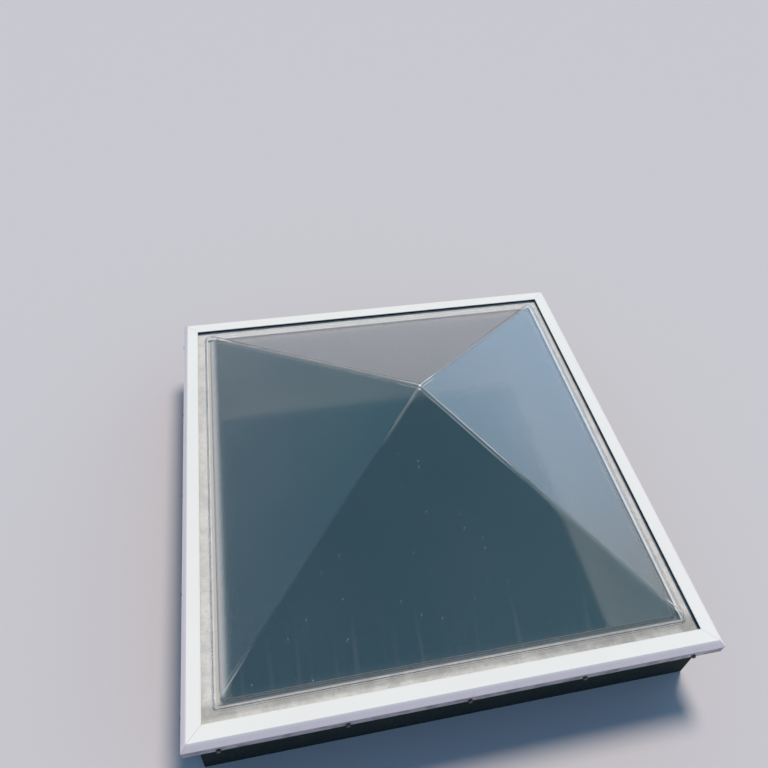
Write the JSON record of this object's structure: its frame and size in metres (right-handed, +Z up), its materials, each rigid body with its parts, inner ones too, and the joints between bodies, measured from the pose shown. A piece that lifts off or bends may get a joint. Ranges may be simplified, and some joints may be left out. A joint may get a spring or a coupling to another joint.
{
  "type": "roof skylight",
  "caption": "Fixed square roof skylight: a clear pyramid dome over a tinted one, held by a white mitred retainer on an aluminium frame and a membrane-covered curb.",
  "frame": {"origin": "middle of the curb's underside, where the unit stands on the roof deck", "axes": "+X along the near side, +Y from the near side to the far side, +Z up"},
  "size_m": [1.3002, 1.3002, 0.5547],
  "materials": {
    "clear_acrylic": "clear thermoformed acrylic sheet",
    "tinted_acrylic": "tinted thermoformed acrylic sheet",
    "white_powder_coat": "white powder coat on extruded aluminium",
    "mill_aluminium": "mill-finish extruded aluminium, weathered",
    "gutter_aluminium": "light grey finish on extruded aluminium",
    "break_plastic": "dark rigid plastic",
    "black_rubber": "black sealing rubber",
    "spacer_foam": "light grey closed-cell strip",
    "seal_foam": "dark grey soft foam",
    "curb_wood": "plain softwood board",
    "white_paint": "white painted board",
    "roof_membrane": "grey-blue granule-faced roof membrane",
    "screw_steel": "dull weathered steel"
  },
  "bodies": {
    "root": {"base_corner_keys": "mill_aluminium", "base_rail_far": "mill_aluminium", "base_rail_left": "mill_aluminium", "base_rail_near": "mill_aluminium", "base_rail_right": "mill_aluminium", "board_screws": "screw_steel", "curb_board_far": "curb_wood", "curb_board_left": "curb_wood", "curb_board_near": "curb_wood", "curb_board_right": "curb_wood", "curb_membrane_far": "roof_membrane", "curb_membrane_left": "roof_membrane", "curb_membrane_near": "roof_membrane", "curb_membrane_right": "roof_membrane", "dome_spacer_far": "spacer_foam", "dome_spacer_left": "spacer_foam", "dome_spacer_near": "spacer_foam", "dome_spacer_right": "spacer_foam", "foam_seal_far": "seal_foam", "foam_seal_left": "seal_foam", "foam_seal_near": "seal_foam", "foam_seal_right": "seal_foam", "frame_screw_washers": "black_rubber", "frame_screws": "screw_steel", "glazing_tape_far": "black_rubber", "glazing_tape_left": "black_rubber", "glazing_tape_near": "black_rubber", "glazing_tape_right": "black_rubber", "gutter_far": "gutter_aluminium", "gutter_left": "gutter_aluminium", "gutter_near": "gutter_aluminium", "gutter_right": "gutter_aluminium", "inner_dome": "tinted_acrylic", "lining_board_far": "white_paint", "lining_board_left": "white_paint", "lining_board_near": "white_paint", "lining_board_right": "white_paint", "outer_dome": "clear_acrylic", "retainer_corner_keys": "mill_aluminium", "retainer_far": "white_powder_coat", "retainer_gasket_far": "black_rubber", "retainer_gasket_left": "black_rubber", "retainer_gasket_near": "black_rubber", "retainer_gasket_right": "black_rubber", "retainer_left": "white_powder_coat", "retainer_near": "white_powder_coat", "retainer_right": "white_powder_coat", "thermal_break_far": "break_plastic", "thermal_break_left": "break_plastic", "thermal_break_near": "break_plastic", "thermal_break_right": "break_plastic"}
  },
  "joints": []
}
